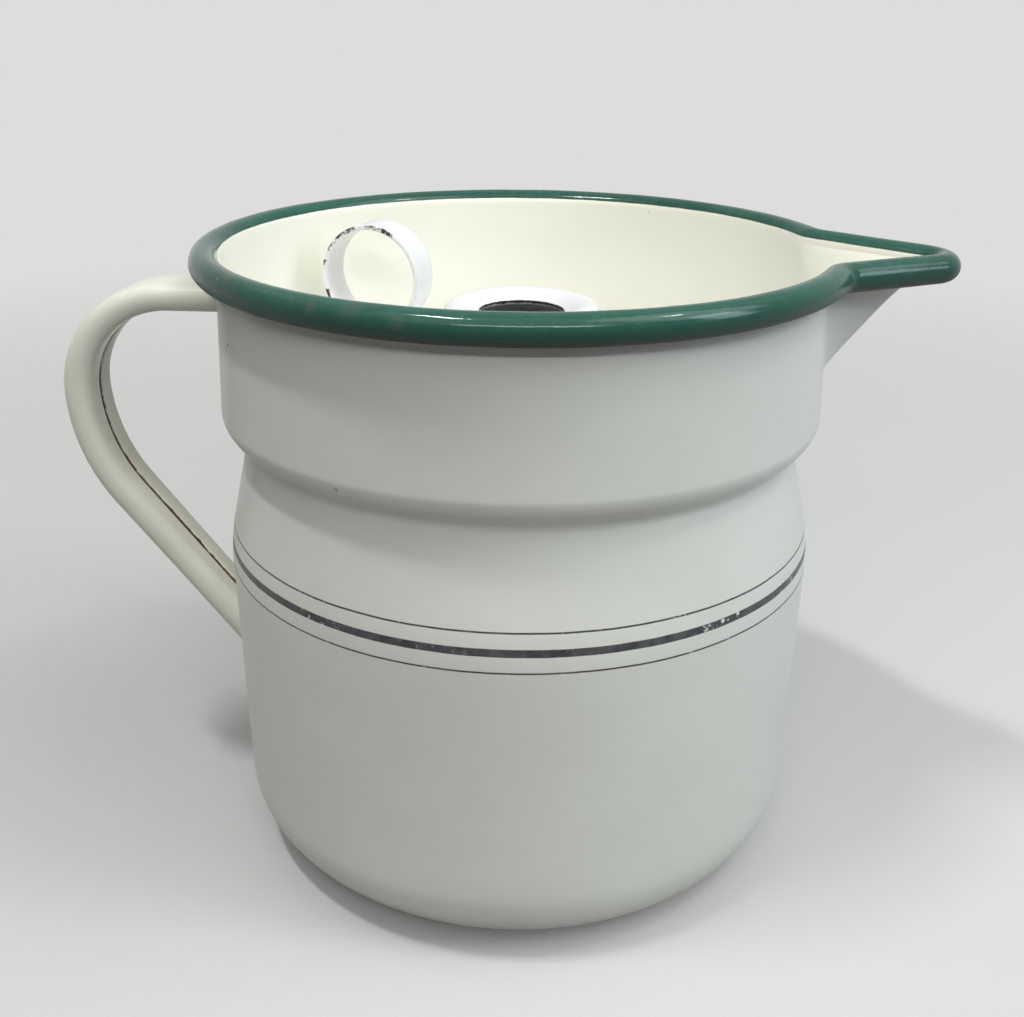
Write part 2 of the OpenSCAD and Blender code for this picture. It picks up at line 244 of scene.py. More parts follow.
# %% Node group for fired-in specks
def make_speck_group():
    tree, given, out = new_group("fired_specks", [("Where", "Vector", (0, 0, 0)), ("Spacing", "Float", 12 * mm),
                                                  ("Size", "Float", 0.35 * mm)], [("Mask", "Float")])
    scale = calc(tree, "DIVIDE", 1.0, given["Spacing"])
    cells = add(tree, "TexVoronoi", {"Vector": given["Where"], "Scale": scale})
    distance = calc(tree, "MULTIPLY", cells.outputs["Distance"], given["Spacing"])
    chance = add(tree, "SeparateColor", {0: cells.outputs["Color"]}).outputs[0]
    size = calc(tree, "MULTIPLY", chance, given["Size"])
    tree.links.new(calc(tree, "LESS_THAN", distance, size), out["Mask"])
    return tree

# %% Node group for one chip with a ragged edge
def make_chip_group():
    tree, given, out = new_group("chip", [("Where", "Vector", (0, 0, 0)), ("Centre", "Vector", (0, 0, 0)),
                                          ("Radius", "Float", 1 * mm), ("Ragged", "Float", 0.8)],
                                 [("Bare", "Float"), ("Stain", "Float")])
    away = add(tree, "VectorMath", {0: given["Where"], 1: given["Centre"]}, operation="DISTANCE")
    distance = calc(tree, "DIVIDE", away.outputs["Value"], given["Radius"])
    ragged = calc(tree, "SUBTRACT", clouds(tree, given["Where"], 1.1 * mm, 4.0, 0.65), 0.5)
    edge = calc(tree, "MULTIPLY_ADD", ragged, given["Ragged"], distance)
    tree.links.new(calc(tree, "SUBTRACT", 1.0, step_up(tree, edge, 0.8, 0.95)), out["Bare"])
    tree.links.new(calc(tree, "SUBTRACT", 1.0, step_up(tree, edge, 0.7, 1.9)), out["Stain"])
    return tree

# %% Node group for wear along an edge
def make_wear_group():
    tree, given, out = new_group("edge_wear", [("Where", "Vector", (0, 0, 0)), ("Edge", "Float", 0.0),
                                               ("Amount", "Float", 0.5), ("Size", "Float", 4 * mm)],
                                 [("Bare", "Float"), ("Stain", "Float")])
    scale = calc(tree, "DIVIDE", 1.0, given["Size"])
    lumps = add(tree, "TexNoise", {"Vector": given["Where"], "Scale": scale, "Detail": 5.0,
                                   "Roughness": 0.65}).outputs["Fac"]
    reach = calc(tree, "MULTIPLY_ADD", given["Edge"], given["Amount"], lumps)
    tree.links.new(step_up(tree, reach, 0.98, 1.01), out["Bare"])
    tree.links.new(step_up(tree, reach, 0.86, 1.0), out["Stain"])
    return tree


peel_group = make_peel_group()
speck_group = make_speck_group()
chip_group = make_chip_group()
wear_group = make_wear_group()
print("node groups:", [group.name for group in bpy.data.node_groups])

# %% [markdown]
# ## Enamel
#
# One function makes each enamel: a colour that drifts a little from place to place, specks, chips at given
# places and, where a piece has an attribute for its edges, wear along them. The stripes are painted by
# height, because on the real jug they were drawn while it turned on a wheel.

# %% Enamel material
scale_black = (0.032, 0.029, 0.028, 1)
rust_brown = (0.12, 0.052, 0.022, 1)


def enamel(name, colour, drift, roughness, chips=(), paint=None, wear=None, waves=(0.8, 0.10), specks=12 * mm,
           ior=1.42):
    """A fired enamel; chips are (centre, radius), paint adds layers of colour, wear is (attribute, amount, size)."""
    material, tree, shader, where = new_material(name, Roughness=roughness, IOR=ior, Coat_Weight=0.0)
    slow = clouds(tree, where, 45 * mm, 3.0)
    result = blend_colour(tree, step_up(tree, slow, 0.35, 0.68), colour, drift)
    rougher = 0.0
    if paint:
        result, rougher = paint(tree, where, slow, result)
    fleck = use_group(tree, speck_group, {"Where": where, "Spacing": specks, "Size": 0.22 * mm})["Mask"]
    result = blend_colour(tree, calc(tree, "MULTIPLY", fleck, 0.6), result, rust_brown)
    bare = None
    marks = [use_group(tree, chip_group, {"Where": where, "Centre": centre, "Radius": radius})
             for centre, radius in chips]
    if wear:
        attribute, amount, size = wear
        edge = add(tree, "Attribute", attribute_name=attribute).outputs["Fac"]
        marks.append(use_group(tree, wear_group, {"Where": where, "Edge": edge, "Amount": amount, "Size": size}))
    for mark in marks:
        result = blend_colour(tree, calc(tree, "MULTIPLY", mark["Stain"], 0.55), result, rust_brown)
        result = blend_colour(tree, mark["Bare"], result, scale_black)
        bare = mark["Bare"] if bare is None else calc(tree, "MAXIMUM", bare, mark["Bare"])
    height = use_group(tree, peel_group, {"Where": where, "Wave": waves[0], "Peel": waves[1]})["Height"]
    dull = calc(tree, "ADD", calc(tree, "MULTIPLY_ADD", slow, 0.08, roughness - 0.04), rougher)
    if bare is not None:
        height = calc(tree, "MULTIPLY_ADD", bare, -0.9, height)
        dull = calc(tree, "MULTIPLY_ADD", bare, 0.45, dull)
    bump = add(tree, "Bump", {"Strength": 0.5, "Distance": 0.25 * mm, "Height": height})
    tree.links.new(result, shader.inputs["Base Color"])
    tree.links.new(dull, shader.inputs["Roughness"])
    tree.links.new(bump.outputs["Normal"], shader.inputs["Normal"])
    return material


def at(bearing, radius, height):
    """A place from its bearing in degrees, its radius and its height in millimetres."""
    return (radius * mm * math.cos(math.radians(bearing)), radius * mm * math.sin(math.radians(bearing)), height * mm)

# %% Stripes of the body
stripe_dark = (0.030, 0.034, 0.038, 1)
stripe_grey = (0.080, 0.086, 0.088, 1)
ivory = (0.735, 0.755, 0.700, 1)
ivory_shade = (0.700, 0.725, 0.665, 1)
stripes = [(93.1 * mm, 1.0 * mm), (98.0 * mm, 0.23 * mm), (88.0 * mm, 0.23 * mm)]
stripe_nicks = [(at(-50.6, 81.7, 93.6), 0.5 * mm), (at(-47.5, 81.7, 93.5), 0.8 * mm),
                (at(-43.7, 81.7, 93.8), 0.8 * mm), (at(-116.6, 81.7, 93.6), 0.4 * mm)]


def paint_stripes(tree, where, slow, under):
    """Three rings round the belly; the broad one is rubbed and scratched."""
    height = add(tree, "SeparateXYZ", {0: where}).outputs["Z"]
    waver = calc(tree, "MULTIPLY", calc(tree, "SUBTRACT", clouds(tree, where, 9 * mm, 2.0), 0.5), 0.25 * mm)
    level = calc(tree, "ADD", height, waver)
    scratches = step_up(tree, clouds(tree, where, 1.6 * mm, 4.0, 0.7), 0.56, 0.66)
    rubbed = calc(tree, "MULTIPLY", scratches, step_up(tree, clouds(tree, where, 22 * mm, 2.0), 0.42, 0.62))
    worn = step_up(tree, clouds(tree, where, 6 * mm, 5.0, 0.75), 0.38, 0.66)
    grey = blend_colour(tree, worn, stripe_dark, stripe_grey)
    for middle, half_width in stripes:
        away = calc(tree, "ABSOLUTE", calc(tree, "SUBTRACT", level, middle))
        line = calc(tree, "SUBTRACT", 1.0, step_up(tree, away, half_width - 0.08 * mm, half_width + 0.08 * mm))
        kept = calc(tree, "SUBTRACT", 1.0, calc(tree, "MULTIPLY", rubbed, 0.75))
        under = blend_colour(tree, calc(tree, "MULTIPLY", line, kept), under, grey)
    for place, radius in stripe_nicks:
        nick = use_group(tree, chip_group, {"Where": where, "Centre": place, "Radius": radius})["Bare"]
        under = blend_colour(tree, nick, under, ivory)
    return under, 0.0

# %% Make the enamels of the wall
# The inside enamel's colour is its own warm tone, painted lighter to stand in for the light that gathers inside the
# jug.
cream_painted_lighter = (0.895, 0.892, 0.775, 1)
cream_shade = (0.880, 0.874, 0.750, 1)
wall_chips = [(at(-116.4, 81.5, 128.4), 0.5 * mm), (at(-148.6, 80.8, 153.1), 0.4 * mm)]
outside_enamel = enamel("ivory_enamel_outside", ivory, ivory_shade, 0.33, wall_chips, paint_stripes)
inside_roughness = 0.22
inside_enamel = enamel("cream_enamel_inside", cream_painted_lighter, cream_shade, inside_roughness, waves=(1.2, 0.12))

# %% [markdown]
# ## The line of the mouth
#
# Seen from above, the rolled edge is a circle that leaves its round in two kinks, runs straight along
# both sides of the spout and closes in a snub nose. The same line carries the roll and shapes the spout's
# sheet, so it is worked out once, as angles and lengths, from the reach of the spout.

# %% Line of the mouth
spout_half_angle = math.radians(32.5)
nose_r = 7.5 * mm
kink_r = 10 * mm
lip_dip = math.radians(1.2)
nose_x = tip_x - roll_r - nose_r
side_offset = nose_x * math.sin(spout_half_angle) + nose_r
kink_bearing = math.asin((side_offset + kink_r) / (roll_line_r + kink_r)) - spout_half_angle
kink_sweep = math.pi / 2 - spout_half_angle - kink_bearing
kink_x = roll_line_r * math.cos(kink_bearing)
kink_middle = Vector((math.cos(kink_bearing), math.sin(kink_bearing), 0)) * (roll_line_r + kink_r)
side_normal = Vector((math.sin(spout_half_angle), math.cos(spout_half_angle), 0))
side_start = kink_middle - kink_r * side_normal
side_finish = Vector((nose_x, 0, 0)) + nose_r * side_normal


def across(vector):
    """The same vector on the other side of the spout."""
    return Vector((vector.x, -vector.y, vector.z))


def line_radius(bearing, out):
    """Distance from the axis to the line of the mouth, moved out from the roll's middle by out."""
    bearing = abs(bearing)
    if bearing >= kink_bearing:
        return roll_line_r + out
    kink_end = kink_middle - (kink_r - out) * side_normal
    nose_end = Vector((nose_x, 0, 0)) + (nose_r + out) * side_normal
    if bearing > math.atan2(kink_end.y, kink_end.x):
        turn = kink_bearing - bearing
        reach = roll_line_r + kink_r
        return reach * math.cos(turn) - math.sqrt((kink_r - out) ** 2 - (reach * math.sin(turn)) ** 2)
    if bearing > math.atan2(nose_end.y, nose_end.x):
        return (side_offset + out) / math.sin(spout_half_angle + bearing)
    return nose_x * math.cos(bearing) + math.sqrt((nose_r + out) ** 2 - (nose_x * math.sin(bearing)) ** 2)


print("the spout starts", round(math.degrees(kink_bearing), 1), "degrees from its middle")

# %% [markdown]
# ## Wall with its spout
#
# The body was drawn from one sheet, and the spout's sheet was welded to its band and covered by the same
# enamel, so nothing shows but a soft crease. Two separate meshes would leave a hard seam there. Here one
# outline is spun round the axis, with fine steps where the spout will be, and that sector is then pushed
# out to the spout's surface. A smooth maximum of the two surfaces makes the enamel's fillet.

# %% Outline of the wall, spun round
spout_sector = math.radians(56)
spout_foot_drop = 29.3 * mm
floor_dish = 1.2 * mm
upright_z = rim_z - 6 * mm
roll_lead = 0.6 * mm
wall_corners = [
    (0, floor_dish, 0, 0), (46 * mm, floor_dish, 5 * mm, 6), (52 * mm, 0, 5 * mm, 6), (base_r, 0, 22.5 * mm, 16),
    (belly_r, belly_z, 45 * mm, 8), (waist_r, waist_z, 2.5 * mm, 10), (shoulder_r, shoulder_z, 6 * mm, 10),
    (rim_r, upright_z, 0, 0), (rim_r, rim_z - roll_lead, 0, 0),
]
wall = bmesh.new()
rounded_chain(wall, wall_corners, lambda r, z: (r, 0, z))
split_long_edges(wall, lambda edge: 0.5 * mm if min(v.co.z for v in edge.verts) > shoulder_z + 2.7 * mm else 5 * mm)
bmesh.ops.rotate(wall, verts=wall.verts, cent=(0, 0, 0), matrix=Matrix.Rotation(-spout_sector / 2, 3, "Z"))
chain = carry(wall, wall.verts[:] + wall.edges[:], (0, 0, 0), spout_sector, (0, 0, 0), 160)
carry(wall, chain, (0, 0, 0), 2 * math.pi - spout_sector, (0, 0, 0), 132)
bmesh.ops.remove_doubles(wall, verts=wall.verts[:], dist=0.01 * mm)
face_outwards(wall, Vector((-1, 0, belly_z)))
print("the wall has", len(wall.faces), "faces before its thickness")

# %% Push the spout's sector out
foot_width = 31 * mm
foot_fullness = 1.7
spout_hollow = 0.085
crease_width = 0.9 * mm


def band_radius(z):
    return shoulder_r + (rim_r - shoulder_r) * min(1, (z - shoulder_z) / (upright_z - shoulder_z))


def foot_height(bearing):
    """Height at which the spout's sheet leaves the band."""
    aside = min(1, abs(rim_r * math.sin(bearing)) / foot_width) ** (foot_fullness / 2)
    return rim_z - spout_foot_drop * math.sqrt(1 - aside ** 2) ** (2 / foot_fullness)


def spout_radius(bearing, z):
    """The larger of band and spout sheet, with enamel run into the crease between them."""
    band = band_radius(z)
    foot = min(foot_height(bearing), rim_z - 2 * mm)
    out = line_radius(bearing, sheet_t - roll_r) - rim_r
    rise = (z - foot) / (rim_z - foot)
    slack = spout_hollow * math.hypot(out, rim_z - foot) * max(0, rise * (1 - rise ** 6))
    proud = out * rise - slack
    width = crease_width * min(1, out / (5 * mm))
    overlap = max(0, 1 - abs(proud) / width) if width > 0 else 0
    return band + max(0, proud) + overlap ** 2 * width / 4


for v in wall.verts:
    bearing = math.atan2(v.co.y, v.co.x)
    if abs(bearing) < spout_sector / 2 and v.co.z > shoulder_z + 3 * mm:
        radius = spout_radius(bearing, v.co.z)
        share = (v.co.z - shoulder_z) / (rim_z - shoulder_z)
        v.co.x = radius * math.cos(bearing)
        v.co.y = radius * math.sin(bearing)
        v.co.z -= max(0, v.co.x - kink_x) * math.tan(lip_dip) * share
bmesh.ops.recalc_face_normals(wall, faces=wall.faces[:])
face_outwards(wall, Vector((-1, 0, belly_z)))
thicken(wall, sheet_t, 1)
jug_wall = finish_piece("jug_wall", wall, [outside_enamel, inside_enamel])
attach(jug_wall, "jug")
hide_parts("body_shell", "spout")

# %% [markdown]
# ## Rolled edge
#
# The edge of the sheet is turned 305 degrees round a wire. It is drawn as an arc of edges that stands on
# the wall, and that arc is carried round the mouth: one long spin, then a kink, a straight, the nose, and
# back. Each vertex keeps how far round the roll it lies, so that the finish knows its top from its edge.

# %% Green enamel of the roll
green = (0.010, 0.088, 0.060, 1)
green_shade = (0.006, 0.064, 0.045, 1)
green_light = (0.034, 0.142, 0.104, 1)
green_painted_shade = (0.004, 0.036, 0.027, 1)
fleck_and_glint_grey = (0.20, 0.30, 0.25, 1)
rubbed_grey = (0.130, 0.130, 0.095, 1)
roll_turn = math.radians(305)
roll_roughness = 0.10


roll_rubs = [(at(-110, 85.4, 173.2), 2.2 * mm), (at(-116.6, 86.5, 172.0), 1.2 * mm), (at(-102.5, 87, 171), 1.3 * mm),
             (at(-137.8, 83.7, 173.9), 2.0 * mm), (at(-17.2, 82.6, 172.6), 2.6 * mm), (at(-13.2, 85.2, 172.6), 2.6 * mm)]


def paint_roll(tree, where, slow, under):
    """Mottled green with painted shade on its underside, notched below, rubbed brown in places; the inside's enamel
    runs up to it.
    """
    turn = add(tree, "Attribute", attribute_name="turn").outputs["Fac"]
    lumps = clouds(tree, where, 2.2 * mm, 4.0, 0.7)
    under = blend_colour(tree, calc(tree, "MULTIPLY", step_up(tree, lumps, 0.45, 0.72), 0.4), under, green_light)
    # The lower part of the roll is painted darker green as painted shade, and made duller there as well.
    low = step_up(tree, calc(tree, "MULTIPLY_ADD", lumps, 0.12, turn), 0.52, 0.80)
    under = blend_colour(tree, calc(tree, "MULTIPLY", low, 0.9), under, green_painted_shade)
    # Pale flecks: specks in the glaze, which also stand in for painted glints.
    fleck = use_group(tree, speck_group, {"Where": where, "Spacing": 5 * mm, "Size": 0.36 * mm})["Mask"]
    under = blend_colour(tree, calc(tree, "MULTIPLY", fleck, 0.6), under, fleck_and_glint_grey)
    for place, radius in roll_rubs:
        rub = use_group(tree, chip_group, {"Where": where, "Centre": place, "Radius": radius, "Ragged": 1.6})["Stain"]
        under = blend_colour(tree, calc(tree, "MULTIPLY", rub, 0.22), under, rubbed_grey)
    notches = calc(tree, "MULTIPLY_ADD", calc(tree, "SUBTRACT", turn, 0.645), 6.0, clouds(tree, where, 1.5 * mm, 4.0))
    under = blend_colour(tree, step_up(tree, notches, 0.92, 1.0), under, scale_black)
    waver = calc(tree, "MULTIPLY", calc(tree, "SUBTRACT", clouds(tree, where, 7 * mm, 3.0), 0.5), 0.015)
    cream_side = calc(tree, "SUBTRACT", 1.0, step_up(tree, calc(tree, "ADD", turn, waver), 0.075, 0.085))
    inside = blend_colour(tree, step_up(tree, slow, 0.35, 0.68), cream_painted_lighter, cream_shade)
    duller = calc(tree, "MULTIPLY", cream_side, inside_roughness - roll_roughness)
    duller = calc(tree, "MULTIPLY_ADD", low, 0.45, duller)
    return blend_colour(tree, cream_side, under, inside), duller


roll_enamel = enamel("bottle_green_enamel", green, green_shade, roll_roughness, (), paint_roll,
                     ("edge", 0.5, 3 * mm), waves=(1.2, 0.16), specks=9 * mm, ior=1.38)

# %% Sweep the roll round the mouth
roll = bmesh.new()
turn_layer = roll.verts.layers.float.new("turn")
edge_layer = roll.verts.layers.float.new("edge")
roll_middle = Matrix.Rotation(kink_bearing, 3, "Z") @ Vector((roll_line_r, 0, rim_z))
roll_axis = Matrix.Rotation(kink_bearing, 3, "Z") @ Vector((0, 1, 0))
inner_side = roll.verts.new(Matrix.Rotation(kink_bearing, 3, "Z") @ Vector((mouth_r, 0, rim_z)))
carry(roll, [inner_side], roll_middle, roll_turn, (0, 0, 0), 44, roll_axis)
for v in roll.verts:
    offset = v.co - roll_middle
    away = math.atan2(offset.z, Vector((offset.x, offset.y)).dot(roll_middle.xy.normalized()))
    v[turn_layer] = ((math.pi - away) % (2 * math.pi)) / roll_turn
    v[edge_layer] = max(0, (v[turn_layer] - 0.74) / 0.26)
lead_end = roll.verts.new(inner_side.co - Vector((0, 0, roll_lead)))
roll.edges.new((lead_end, inner_side))
arc = roll.verts[:] + roll.edges[:]
side_way = (side_finish - side_start) / 10
arc = carry(roll, arc, (0, 0, 0), 2 * math.pi - 2 * kink_bearing, (0, 0, 0), 300)
arc = carry(roll, arc, across(kink_middle), -kink_sweep, (0, 0, 0), 16)
arc = carry(roll, arc, (0, 0, 0), 0, across(side_way), 10)
arc = carry(roll, arc, (nose_x, 0, 0), math.pi - 2 * spout_half_angle, (0, 0, 0), 26)
arc = carry(roll, arc, (0, 0, 0), 0, -side_way, 10)
carry(roll, arc, kink_middle, -kink_sweep, (0, 0, 0), 16)
bmesh.ops.remove_doubles(roll, verts=roll.verts[:], dist=0.01 * mm)
face_outwards(roll, Vector((-1, 0, rim_z)))
for v in roll.verts:
    v.co.z -= max(0, v.co.x - kink_x) * math.tan(lip_dip)
    v.co -= v.normal * 0.06 * mm * (1 + noise.noise(v.co / (9 * mm))) * min(1, v[turn_layer] * 4)
thicken(roll, sheet_t, 0)
mouth_roll = finish_piece("mouth_roll", roll, [roll_enamel])
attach(mouth_roll, "jug")
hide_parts("rim_roll", "spout_roll")

# %% [markdown]
# ## Handle
#
# A strip of sheet is rolled until its two edges meet in a seam on the inner side, then bent and welded to
# the body. A full tube would look too simple: the shadow in the seam is what tells the eye how it was made.
# The strip's line is drawn from lip to lip and carried along the handle step by step.

# %% Handle sizes and finish
handle_top_z = rim_z - 14.2 * mm
handle_reach = belly_r + 43.19 * mm
handle_bend_r = 28 * mm
handle_sweep_r = 50 * mm
handle_lean = math.radians(38)
handle_width = (18.5 * mm, 17.5 * mm)
handle_thickness = (7 * mm, 8 * mm)
seam_gap = 0.9 * mm


def paint_seam(tree, where, slow, under):
    """Rust and dirt along the open seam."""
    seam = add(tree, "Attribute", attribute_name="seam").outputs["Fac"]
    uneven = calc(tree, "MULTIPLY", clouds(tree, where, 2.5 * mm, 4.0, 0.7), 0.5)
    dirt = step_up(tree, calc(tree, "ADD", seam, uneven), 0.95, 1.15)
    return blend_colour(tree, dirt, under, rust_brown), calc(tree, "MULTIPLY", dirt, 0.3)


handle_cream = (0.830, 0.835, 0.730, 1)
handle_shade = (0.790, 0.795, 0.675, 1)
handle_chips = [((-101.5 * mm, -6 * mm, 152.2 * mm), 0.9 * mm), ((-99.8 * mm, -6.4 * mm, 152.3 * mm), 0.6 * mm),
                ((-90.3 * mm, -7 * mm, 152.6 * mm), 0.35 * mm), ((-86.4 * mm, -1.5 * mm, 65.4 * mm), 0.55 * mm)]
handle_enamel = enamel("cream_enamel_handle", handle_cream, handle_shade, 0.18, handle_chips, paint_seam,
                       waves=(1.5, 0.10))

# %% Carry the strip along the handle
strip = bmesh.new()
seam_layer = strip.verts.layers.float.new("seam")
half_w = handle_width[0] / 2
half_t = handle_thickness[0] / 2
lip = seam_gap / 2
strip_corners = [
    (lip, 1.4 * mm - half_t, 0, 0), (lip + 0.25 * mm, -half_t, 1.0 * mm, 4), (half_w, -half_t, half_t * 0.96, 10),
    (half_w, half_t, half_t * 0.96, 10), (0, half_t + 0.55 * mm, 25 * mm, 6), (-half_w, half_t, half_t * 0.96, 10),
    (-half_w, -half_t, half_t * 0.96, 10), (-lip - 0.25 * mm, -half_t, 1.0 * mm, 4), (-lip, 1.4 * mm - half_t, 0, 0),
]
start_x = -(rim_r - 0.6 * mm)
rounded_chain(strip, strip_corners, lambda y, out: (start_x, y, handle_top_z + out))
for v in strip.verts:
    low_side = v.co.z < handle_top_z
    v[seam_layer] = max(0, 1 - max(0, abs(v.co.y) - lip) / (1.6 * mm)) if low_side else 0


def handle_route():
    """Steps of (matrix, share of the way) along the handle."""
    bend_centre = Vector((handle_bend_r - handle_reach, 0, handle_top_z - handle_bend_r))
    sweep_centre = Vector((handle_sweep_r - handle_reach, 0, bend_centre.z))
    first = (bend_centre.x - start_x)
    bottom = sweep_centre + handle_sweep_r * Vector((-math.cos(handle_lean), 0, -math.sin(handle_lean)))
    last = (-belly_r + 6 * mm - bottom.x) / math.sin(handle_lean)
    way = Vector((math.sin(handle_lean), 0, -math.cos(handle_lean)))
    parts = [(None, Vector((first, 0, 0)), 22), (bend_centre, -math.pi / 2, 40),
             (sweep_centre, -handle_lean, 26), (None, way * last, 90)]
    for centre, amount, count in parts:
        for _ in range(count):
            if centre is None:
                yield Matrix.Translation(amount / count)
            else:
                turn = Matrix.Rotation(amount / count, 4, "Y")
                yield Matrix.Translation(centre) @ turn @ Matrix.Translation(-centre)


def eased(x):
    x = min(1, max(0, x))
    return x * x * (3 - 2 * x)


steps = list(handle_route())
spot = Matrix.Translation((start_x, 0, handle_top_z))
chain = strip.verts[:] + strip.edges[:]
width, thickness = handle_width[0], handle_thickness[0]
for i, move in enumerate(steps):
    share = (i + 1) / len(steps)
    chain = carry(strip, chain, (0, 0, 0), 0, (0, 0, 0), 1)
    spot = move @ spot
    bmesh.ops.transform(strip, matrix=move, verts=verts_of(chain))
    wider = handle_width[0] + (handle_width[1] - handle_width[0]) * eased((share - 0.35) / 0.4)
    thicker = handle_thickness[0] + (handle_thickness[1] - handle_thickness[0]) * eased(share / 0.4)
    bmesh.ops.scale(strip, vec=(1, wider / width, thicker / thickness), space=spot.inverted(), verts=verts_of(chain))
    width, thickness = wider, thicker
face_outwards(strip, Vector((-1, 0, handle_top_z - handle_bend_r)))
print("the handle's strip has", len(strip.faces), "faces")

# %% Cut the handle at the wall and let the enamel run out in a fillet
fillet = 2.2 * mm


def wall_radius(z):
    """Outer radius of the wall where the handle meets it."""
    return band_radius(z) if z > shoulder_z else belly_r


for height_sign, wall_x in ((1, -(rim_r - 0.4 * mm)), (-1, -(belly_r - 1.0 * mm))):
    cut = [part for part in strip.verts[:] + strip.edges[:] + strip.faces[:]
           if (part.co.z if isinstance(part, bmesh.types.BMVert) else part.verts[0].co.z) * height_sign
           > (rim_z - 60 * mm) * height_sign]
    bmesh.ops.bisect_plane(strip, geom=cut, dist=0.001 * mm, plane_co=(wall_x, 0, 0), plane_no=(1, 0, 0),
                           clear_outer=True)
strip.normal_update()
for v in strip.verts:
    gap = max(0, v.co.xy.length - wall_radius(v.co.z))
    if gap < fillet:
        radial = Vector((v.co.x, v.co.y, 0)).normalized()
        sideways = v.normal - v.normal.dot(radial) * radial
        v.co += sideways * (fillet - math.sqrt(fillet ** 2 - (fillet - gap) ** 2)) * (1 - v[seam_layer])
thicken(strip, sheet_t, 0)
strip_handle = finish_piece("strip_handle", strip, [handle_enamel])
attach(strip_handle, "jug")
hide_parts("handle")

# %% [markdown]
# ## Boil-over insert
#
# The insert is a round plate with a turned-down skirt and a chimney that the milk boils up through. Its
# outline is spun like the wall's. The drain holes are drilled before enamelling, so their edges are soft:
# they are cut by a boolean and then bevelled.

# %% Insert material and shape
white = (0.840, 0.845, 0.850, 1)
white_shade = (0.800, 0.808, 0.820, 1)
hole_brown = (0.040, 0.030, 0.022, 1)
insert_low, insert_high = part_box("insert_plate")
insert_r = insert_high.x
chimney_z = insert_high.z
chimney_r = 21.6 * mm
chimney_hole_r = 11.35 * mm


def paint_hole(tree, where, slow, under):
    """The edge of the chimney's hole is painted dark brown and made duller."""
    flat = add(tree, "VectorMath", {0: where, 1: (1, 1, 0)}, operation="MULTIPLY").outputs[0]
    out = add(tree, "VectorMath", {0: flat}, operation="LENGTH").outputs["Value"]
    ragged = calc(tree, "MULTIPLY_ADD", clouds(tree, where, 1.4 * mm, 4.0, 0.7), -0.6 * mm, out)
    edge = calc(tree, "SUBTRACT", 1.0, step_up(tree, ragged, chimney_hole_r - 0.1 * mm, chimney_hole_r + 0.1 * mm))
    return blend_colour(tree, edge, under, hole_brown), calc(tree, "MULTIPLY", edge, 0.4)


insert_enamel = enamel("white_enamel_insert", white, white_shade, 0.2, (), paint_hole, waves=(1.4, 0.12))
plate_z = insert_low.z + 5.8 * mm
crest_r = 17.0 * mm
insert_corners = [
    (chimney_hole_r, chimney_z - 2.6 * mm, 0, 0),
    (crest_r, chimney_z + 0.1 * mm, 6 * mm, 8), (chimney_r, chimney_z - 0.6 * mm, 4.2 * mm, 10),
    (chimney_r, plate_z, 6 * mm, 10), (insert_r, plate_z, 3 * mm, 8), (insert_r, insert_low.z, 0, 0),
]
plate = bmesh.new()
rounded_chain(plate, insert_corners, lambda r, z: (r, 0, z))
split_long_edges(plate, lambda edge: 5 * mm)
bmesh.ops.spin(plate, geom=plate.verts[:] + plate.edges[:], cent=(0, 0, 0), axis=(0, 0, 1), dvec=(0, 0, 0),
               angle=2 * math.pi, steps=144, use_merge=True, use_duplicate=False)
bmesh.ops.remove_doubles(plate, verts=plate.verts[:], dist=0.01 * mm)
face_outwards(plate, Vector((0.05, 0, 1)))
thicken(plate, sheet_t, 0)
boil_over_insert = finish_piece("boil_over_insert", plate, [insert_enamel])

# %% Drain holes
drain_count = 8
drain_r = 2.5 * mm
cutter_bm = bmesh.new()
for i in range(drain_count):
    turn = Matrix.Rotation(2 * math.pi * (i + 0.5) / drain_count, 4, "Z")
    bmesh.ops.create_cone(cutter_bm, cap_ends=True, segments=32, radius1=drain_r, radius2=drain_r, depth=8 * mm,
                          matrix=turn @ Matrix.Translation((insert_r - 8.2 * mm, 0, plate_z)))
cutter = finish_piece("drain_cutter", cutter_bm, [])
drill = boil_over_insert.modifiers.new("drill", "BOOLEAN")
drill.object = cutter
drill.solver = "EXACT"
soften = boil_over_insert.modifiers.new("soften", "BEVEL")
soften.width = 0.4 * mm
soften.segments = 3
soften.limit_method = "ANGLE"
soften.angle_limit = math.radians(50)
drilled = bpy.data.meshes.new_from_object(boil_over_insert.evaluated_get(bpy.context.evaluated_depsgraph_get()))
boil_over_insert.modifiers.clear()
boil_over_insert.data = drilled
bpy.data.objects.remove(cutter)
drilled.shade_smooth()
drilled.set_sharp_from_angle(angle=math.radians(50))
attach(boil_over_insert, "insert")
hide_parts("insert_plate")
print("the insert has", len(drilled.polygons), "faces with its drain holes")

# %% [markdown]
# ## Lifting ring
#
# A strip bent to a hoop and welded to the plate. Its front edge is knocked by fingers and spoons, so that is
# where the enamel is gone, in stretches. The hoop's line is a long arc between two straights that lean in to
# a narrow foot. It is pushed out to the strip's width, thickened and bevelled.

# %% Lifting ring
ring_low, ring_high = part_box("lifting_ring")
ring_w = 31 * mm
ring_h = ring_high.z - ring_low.z
ring_t = 1.5 * mm
ring_strip_w = 11.5 * mm
ring_turn = math.radians(-14)
ring_foot_w = 9 * mm
ring_enamel = enamel("white_enamel_ring", white, white_shade, 0.18, wear=("edge", 0.57, 1.6 * mm), waves=(1.2, 0.1))
worn_stretches = [(58, 96), (104, 152), (160, 172), (196, 208)]

